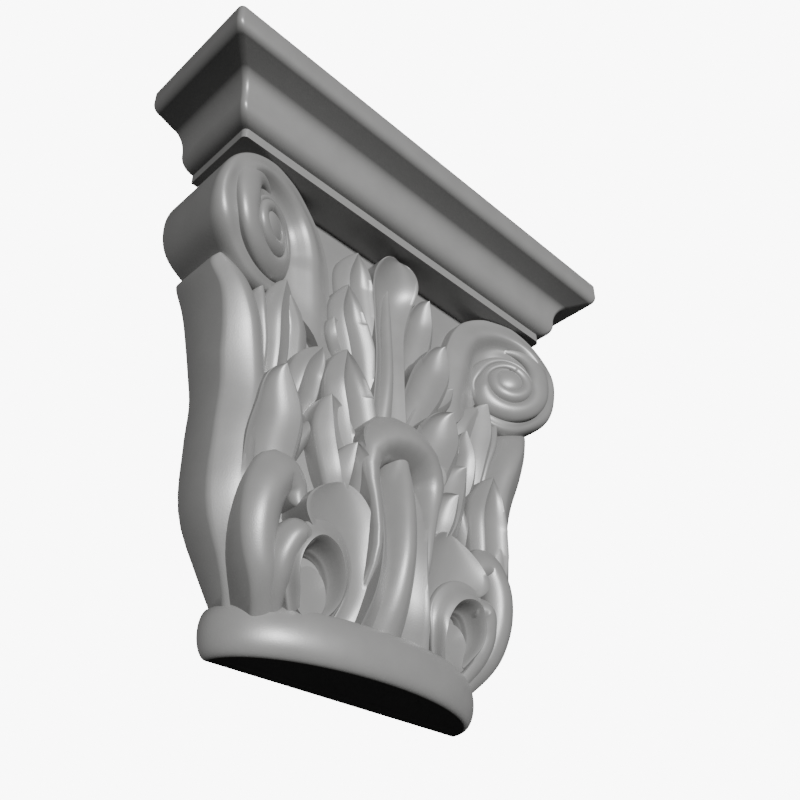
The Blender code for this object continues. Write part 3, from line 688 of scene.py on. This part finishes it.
    def roll(self, mason: Mason, stretch: Stretch, edge: Callable[[float], float],
             inside: Callable[[float], float]) -> bpy.types.Object:
        """A stretch of a rounded roll between two spiral lines.

        Args:
            mason: Makes the solid.
            stretch: Where it starts and stops, and how finely it is cut.
            edge: Radius of its outer edge at an angle.
            inside: Radius of its inner side at an angle.

        Returns:
            The solid.
        """
        surface = []
        turn = np.linspace(0, math.pi, self.roll_columns + 1)
        share = (1 - np.cos(turn)) / 2
        for degrees in np.linspace(stretch.start, stretch.stop, stretch.rows + 1):
            outer = edge(degrees)
            width = max(outer - inside(degrees), mason.least_thickness)
            radius = outer - width * share
            swell = min(self.rise * width, self.highest) * np.sin(turn)
            angle = math.radians(degrees)
            dx, dz = radius * math.sin(angle), radius * math.cos(angle)
            sunk = stretch.dive * max(0.0, 1 - (degrees - stretch.start) / self.dive_over) ** 2
            depth = self.ground(dx, dz) + self.bed - swell + sunk
            surface.append(np.stack([self.eye[0] + dx, depth, self.eye[2] + dz], -1))
        return mason.slab(stretch.name, np.array(surface), self.rear)

    def dome(self, mason: Mason) -> bpy.types.Object:
        """The domed eye."""
        turn = np.linspace(0, 2 * math.pi, self.eye_steps, endpoint=False)
        rings = []
        for climb in np.linspace(0, self.eye_top, self.eye_rings):
            radius = self.eye_radius * math.cos(math.pi / 2 * climb)
            dx, dz = radius * np.sin(turn), radius * np.cos(turn)
            depth = self.ground(dx, dz) + self.bed - self.eye_dome * math.sin(math.pi / 2 * climb)
            rings.append(np.stack([self.eye[0] + dx, depth, self.eye[2] + dz], -1))
        rear = rings[0].copy()
        rear[:, 1] = self.rear
        return mason.loft("eye", [rear] + rings)

    def carve(self, mason: Mason) -> list[bpy.types.Object]:
        """All the solids of the scroll."""
        turns = [self.roll(mason, stretch, self.main_edge, self.main_inside)
                 for stretch in self.main_stretches]
        return [mason.slab(self.band.name, self.band.surface(), self.band.back), *turns,
                self.roll(mason, self.tail_stretch, self.tail_edge, self.tail_inside), self.dome(mason)]


class Noise(Enum):
    """Kinds of surface pattern in the stone."""

    GRAIN = "grain"
    MOTTLE = "mottle"


@dataclass(frozen=True)
class StoneFinish:
    """Even grey cast stone, matt with a soft sheen."""

    name: str = "cast stone"
    light: tuple[float, float, float, float] = (0.230, 0.229, 0.226, 1.0)
    dark: tuple[float, float, float, float] = (0.190, 0.189, 0.187, 1.0)
    roughness: float = 0.38
    roughness_swing: float = 0.10
    reflection: float = 0.9
    grain_size: float = 0.0006
    mottle_size: float = 0.018
    grain_relief: float = 0.00004
    grain_detail: float = 3.0
    mottle_detail: float = 5.0
    noise_roughness: float = 0.6
    mottle_contrast: float = 1.4
    grain_share: float = 0.35

    def pattern_group(self, kind: Noise) -> bpy.types.ShaderNodeTree:
        """A node group that puts out a noise of a given size in metres.

        Args:
            kind: Which pattern the group makes.

        Returns:
            The group, with inputs Size and Contrast and the output Value.
        """
        tree = bpy.data.node_groups.new(f"stone {kind.value}", "ShaderNodeTree")
        size = tree.interface.new_socket("Size", in_out="INPUT", socket_type="NodeSocketFloat")
        size.default_value = self.grain_size if kind is Noise.GRAIN else self.mottle_size
        contrast = tree.interface.new_socket("Contrast", in_out="INPUT", socket_type="NodeSocketFloat")
        contrast.default_value = 1.0
        tree.interface.new_socket("Value", in_out="OUTPUT", socket_type="NodeSocketFloat")
        nodes, links = tree.nodes, tree.links
        inlet, outlet = nodes.new("NodeGroupInput"), nodes.new("NodeGroupOutput")
        place = nodes.new("ShaderNodeTexCoord")
        invert = nodes.new("ShaderNodeMath")
        invert.operation = "DIVIDE"
        invert.inputs[0].default_value = 1.0
        noise = nodes.new("ShaderNodeTexNoise")
        details = {Noise.GRAIN: self.grain_detail, Noise.MOTTLE: self.mottle_detail}
        noise.inputs["Detail"].default_value = details[kind]
        noise.inputs["Roughness"].default_value = self.noise_roughness
        centre = nodes.new("ShaderNodeMath")
        centre.operation = "SUBTRACT"
        centre.inputs[1].default_value = 0.5
        spread = nodes.new("ShaderNodeMath")
        spread.operation = "MULTIPLY_ADD"
        spread.inputs[2].default_value = 0.5
        spread.use_clamp = True
        links.new(inlet.outputs["Size"], invert.inputs[1])
        links.new(invert.outputs[0], noise.inputs["Scale"])
        links.new(place.outputs["Object"], noise.inputs["Vector"])
        links.new(noise.outputs["Fac"], centre.inputs[0])
        links.new(centre.outputs[0], spread.inputs[0])
        links.new(inlet.outputs["Contrast"], spread.inputs[1])
        links.new(spread.outputs[0], outlet.inputs["Value"])
        return tree

    def material(self) -> bpy.types.Material:
        """The stone's material, with its patterns placed from the groups."""
        stone = bpy.data.materials.new(self.name)
        stone.use_nodes = True
        nodes, links = stone.node_tree.nodes, stone.node_tree.links
        shader = nodes["Principled BSDF"]
        shader.inputs["Metallic"].default_value = 0.0
        shader.inputs["Specular IOR Level"].default_value = self.reflection
        grain, mottle = nodes.new("ShaderNodeGroup"), nodes.new("ShaderNodeGroup")
        grain.node_tree = self.pattern_group(Noise.GRAIN)
        mottle.node_tree = self.pattern_group(Noise.MOTTLE)
        grain.inputs["Size"].default_value = self.grain_size
        grain.inputs["Contrast"].default_value = 1.0
        mottle.inputs["Size"].default_value = self.mottle_size
        mottle.inputs["Contrast"].default_value = self.mottle_contrast
        blend = nodes.new("ShaderNodeMath")
        blend.operation = "MULTIPLY_ADD"
        blend.inputs[1].default_value = self.grain_share
        links.new(grain.outputs["Value"], blend.inputs[0])
        rest = nodes.new("ShaderNodeMath")
        rest.operation = "MULTIPLY"
        rest.inputs[1].default_value = 1 - self.grain_share
        links.new(mottle.outputs["Value"], rest.inputs[0])
        links.new(rest.outputs[0], blend.inputs[2])
        colour = nodes.new("ShaderNodeMix")
        colour.data_type = "RGBA"
        colour.inputs["A"].default_value = self.dark
        colour.inputs["B"].default_value = self.light
        links.new(blend.outputs[0], colour.inputs["Factor"])
        links.new(colour.outputs["Result"], shader.inputs["Base Color"])
        gloss = nodes.new("ShaderNodeMapRange")
        gloss.inputs["To Min"].default_value = self.roughness - self.roughness_swing / 2
        gloss.inputs["To Max"].default_value = self.roughness + self.roughness_swing / 2
        links.new(mottle.outputs["Value"], gloss.inputs["Value"])
        links.new(gloss.outputs["Result"], shader.inputs["Roughness"])
        bump = nodes.new("ShaderNodeBump")
        bump.inputs["Distance"].default_value = self.grain_relief
        links.new(grain.outputs["Value"], bump.inputs["Height"])
        links.new(bump.outputs["Normal"], shader.inputs["Normal"])
        return stone


def mirror_tree() -> bpy.types.GeometryNodeTree:
    """A Geometry Nodes tree that adds a solid's mirror image about the middle and sets its material."""
    tree = bpy.data.node_groups.new("mirrored pair", "GeometryNodeTree")
    tree.interface.new_socket("Geometry", in_out="INPUT", socket_type="NodeSocketGeometry")
    tree.interface.new_socket("Scale", in_out="INPUT", socket_type="NodeSocketVector")
    tree.interface.new_socket("Stone", in_out="INPUT", socket_type="NodeSocketMaterial")
    tree.interface.new_socket("Geometry", in_out="OUTPUT", socket_type="NodeSocketGeometry")
    nodes, links = tree.nodes, tree.links
    inlet, outlet = nodes.new("NodeGroupInput"), nodes.new("NodeGroupOutput")
    turn = nodes.new("GeometryNodeTransform")
    flip = nodes.new("GeometryNodeFlipFaces")
    whole = nodes.new("GeometryNodeRealizeInstances")
    dress = nodes.new("GeometryNodeSetMaterial")
    links.new(inlet.outputs["Geometry"], turn.inputs["Geometry"])
    links.new(inlet.outputs["Scale"], turn.inputs["Scale"])
    links.new(turn.outputs["Geometry"], flip.inputs["Mesh"])
    links.new(flip.outputs["Mesh"], whole.inputs["Geometry"])
    links.new(whole.outputs["Geometry"], dress.inputs["Geometry"])
    links.new(inlet.outputs["Stone"], dress.inputs["Material"])
    links.new(dress.outputs["Geometry"], outlet.inputs["Geometry"])
    return tree


def set_input(modifier: bpy.types.NodesModifier, name: str, value: object) -> None:
    """Sets a Geometry Nodes modifier's input by the name of its socket."""
    for item in modifier.node_group.interface.items_tree:
        if item.item_type == "SOCKET" and item.in_out == "INPUT" and item.name == name:
            modifier[item.identifier] = value


@dataclass
class Capital:
    """The whole block, carved and dressed."""

    drawing: Drawing
    finish: StoneFinish = field(default_factory=StoneFinish)
    abacus: Abacus = field(default_factory=Abacus)
    astragal: Astragal = field(default_factory=Astragal)
    ground: Ground = field(default_factory=Ground)
    leaves: Leafwork = field(default_factory=Leafwork)
    scroll: Scroll = field(default_factory=Scroll)
    horseshoe: Horseshoe = field(default_factory=Horseshoe)
    middle_lap: float = 0.002
    crease: float = 38.0
    level: float = 0.9999

    def right_half(self, mason: Mason) -> bpy.types.Object:
        """The carving of the right-hand half as one solid."""
        pieces = self.leaves.carve(mason, PAIRED_LOBES)
        pieces += self.scroll.carve(mason) + self.horseshoe.carve(mason)
        core = mason.loft("right half", self.half_rings())
        return mason.join(core, pieces)

    def half_rings(self) -> list[np.ndarray]:
        """The ground's rings, cut off a little past the middle."""
        rings = []
        for ring in self.ground.rings():
            half = ring.copy()
            half[:, 0] = np.maximum(half[:, 0], -self.middle_lap)
            rings.append(half)
        return rings

    def left_half(self, right: bpy.types.Object, stone: bpy.types.Material) -> bpy.types.Object:
        """The mirror image of the right-hand half, by Geometry Nodes."""
        left = bpy.data.objects.new("left half", right.data.copy())
        bpy.context.scene.collection.objects.link(left)
        mirrored = left.modifiers.new("mirror", "NODES")
        mirrored.node_group = mirror_tree()
        set_input(mirrored, "Scale", (-1.0, 1.0, 1.0))
        set_input(mirrored, "Stone", stone)
        drawn = left.evaluated_get(bpy.context.evaluated_depsgraph_get())
        mesh = bpy.data.meshes.new_from_object(drawn)
        left.modifiers.remove(mirrored)
        left.data = mesh
        return left

    def build(self) -> bpy.types.Object:
        """Carves the block and gives it its stone."""
        mason = Mason(self.drawing)
        stone = self.finish.material()
        right = self.right_half(mason)
        left = self.left_half(right, stone)
        pieces = [left] + self.leaves.carve(mason, MIDDLE_LOBES)
        pieces += [mason.loft("abacus", self.abacus.rings()), mason.loft("astragal", self.astragal.rings())]
        block = mason.join(right, pieces)
        block.name = "carved_capital"
        self.dress(block.data, stone)
        return block

    def dress(self, mesh: bpy.types.Mesh, stone: bpy.types.Material) -> None:
        """Gives the mesh its stone, soft shading on the carving and flat shading on the cut planes."""
        mesh.materials.clear()
        mesh.materials.append(stone)
        mesh.shade_smooth()
        mesh.set_sharp_from_angle(angle=math.radians(self.crease))
        for face in mesh.polygons:
            face.material_index = 0
            face.use_smooth = max(abs(face.normal.z), face.normal.y) < self.level


@dataclass
class Studio:
    """Floor, light and camera."""

    drawing: Drawing
    camera_place: tuple[float, float, float] = (-0.97367741, -1.10118259, -0.47266257)
    field_of_view: float = 45.0
    key_from: tuple[float, float, float] = (-0.31, -0.94, 0.07)
    key_strength: float = 5.4
    key_spread: float = 7.0
    sky: float = 0.03
    backdrop: float = 9.0
    floor_size: float = 30.0
    floor_colour: tuple[float, float, float, float] = (0.80, 0.80, 0.79, 1.0)
    floor_roughness: float = 0.9
    nearest: float = 0.005

    def camera(self) -> bpy.types.Object:
        """The camera at the photograph's place, looking up along (1, 1, 1)."""
        data = bpy.data.cameras.new("camera")
        data.angle = math.radians(self.field_of_view)
        data.clip_start = self.nearest
        item = bpy.data.objects.new("camera", data)
        ahead = Vector((1, 1, 1)).normalized()
        right = Vector((1, -1, 0)).normalized()
        up = right.cross(ahead)
        place = Vector(self.drawing.place(np.array(self.camera_place)).tolist())
        axes = Matrix((right, up, -ahead)).transposed()
        item.matrix_world = Matrix.Translation(place) @ axes.to_4x4()
        bpy.context.scene.collection.objects.link(item)
        bpy.context.scene.camera = item
        return item

    def light(self) -> bpy.types.Object:
        """One soft key light, as high as the capital and to its left."""
        data = bpy.data.lights.new("key", "SUN")
        data.energy = self.key_strength
        data.angle = math.radians(self.key_spread)
        item = bpy.data.objects.new("key", data)
        item.rotation_euler = (-Vector(self.key_from)).to_track_quat("-Z", "Y").to_euler()
        bpy.context.scene.collection.objects.link(item)
        return item

    def sky_light(self) -> bpy.types.World:
        """A white backdrop that lights the object only a little."""
        world = bpy.data.worlds.new("studio")
        bpy.context.scene.world = world
        world.use_nodes = True
        nodes, links = world.node_tree.nodes, world.node_tree.links
        seen = nodes["Background"]
        seen.inputs["Color"].default_value = (1.0, 1.0, 1.0, 1.0)
        seen.inputs["Strength"].default_value = self.backdrop
        felt = nodes.new("ShaderNodeBackground")
        felt.inputs["Color"].default_value = (1.0, 1.0, 1.0, 1.0)
        felt.inputs["Strength"].default_value = self.sky
        path = nodes.new("ShaderNodeLightPath")
        choose = nodes.new("ShaderNodeMixShader")
        links.new(path.outputs["Is Camera Ray"], choose.inputs["Fac"])
        links.new(felt.outputs["Background"], choose.inputs[1])
        links.new(seen.outputs["Background"], choose.inputs[2])
        links.new(choose.outputs["Shader"], nodes["World Output"].inputs["Surface"])
        return world

    def floor(self) -> bpy.types.Object:
        """A plain pale floor that can't be seen from below."""
        half = self.floor_size / 2
        mesh = bpy.data.meshes.new("floor")
        mesh.from_pydata([(-half, -half, 0), (half, -half, 0), (half, half, 0), (-half, half, 0)], [],
                         [(0, 1, 2, 3)])
        item = bpy.data.objects.new("floor", mesh)
        bpy.context.scene.collection.objects.link(item)
        paint = bpy.data.materials.new("pale floor")
        paint.use_nodes = True
        nodes, links = paint.node_tree.nodes, paint.node_tree.links
        shader = nodes["Principled BSDF"]
        shader.inputs["Base Color"].default_value = self.floor_colour
        shader.inputs["Roughness"].default_value = self.floor_roughness
        clear = nodes.new("ShaderNodeBsdfTransparent")
        face = nodes.new("ShaderNodeNewGeometry")
        path = nodes.new("ShaderNodeLightPath")
        either = nodes.new("ShaderNodeMath")
        either.operation = "MAXIMUM"
        links.new(face.outputs["Backfacing"], either.inputs[0])
        links.new(path.outputs["Is Diffuse Ray"], either.inputs[1])
        choose = nodes.new("ShaderNodeMixShader")
        links.new(either.outputs[0], choose.inputs["Fac"])
        links.new(shader.outputs["BSDF"], choose.inputs[1])
        links.new(clear.outputs["BSDF"], choose.inputs[2])
        links.new(choose.outputs["Shader"], nodes["Material Output"].inputs["Surface"])
        mesh.materials.append(paint)
        return item

    def build(self) -> None:
        """Sets up the studio."""
        self.camera()
        self.light()
        self.sky_light()
        self.floor()


def triangles(item: bpy.types.Object) -> int:
    """How many triangles an object's mesh makes."""
    return sum(len(face.vertices) - 2 for face in item.data.polygons)


def main() -> None:
    """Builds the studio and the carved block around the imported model."""
    logging.basicConfig(level=logging.INFO, format="%(name)s: %(message)s")
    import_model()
    low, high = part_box(NODE)
    drawing = Drawing(unit=high.x - low.x, back=high.y, base=low.z)
    Studio(drawing).build()
    block = Capital(drawing).build()
    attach(block, BODY)
    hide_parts(NODE)
    LOG.info("%s rides on %s, %d triangles", block.name, BODY, triangles(block))


if __name__ == "__main__":
    main()
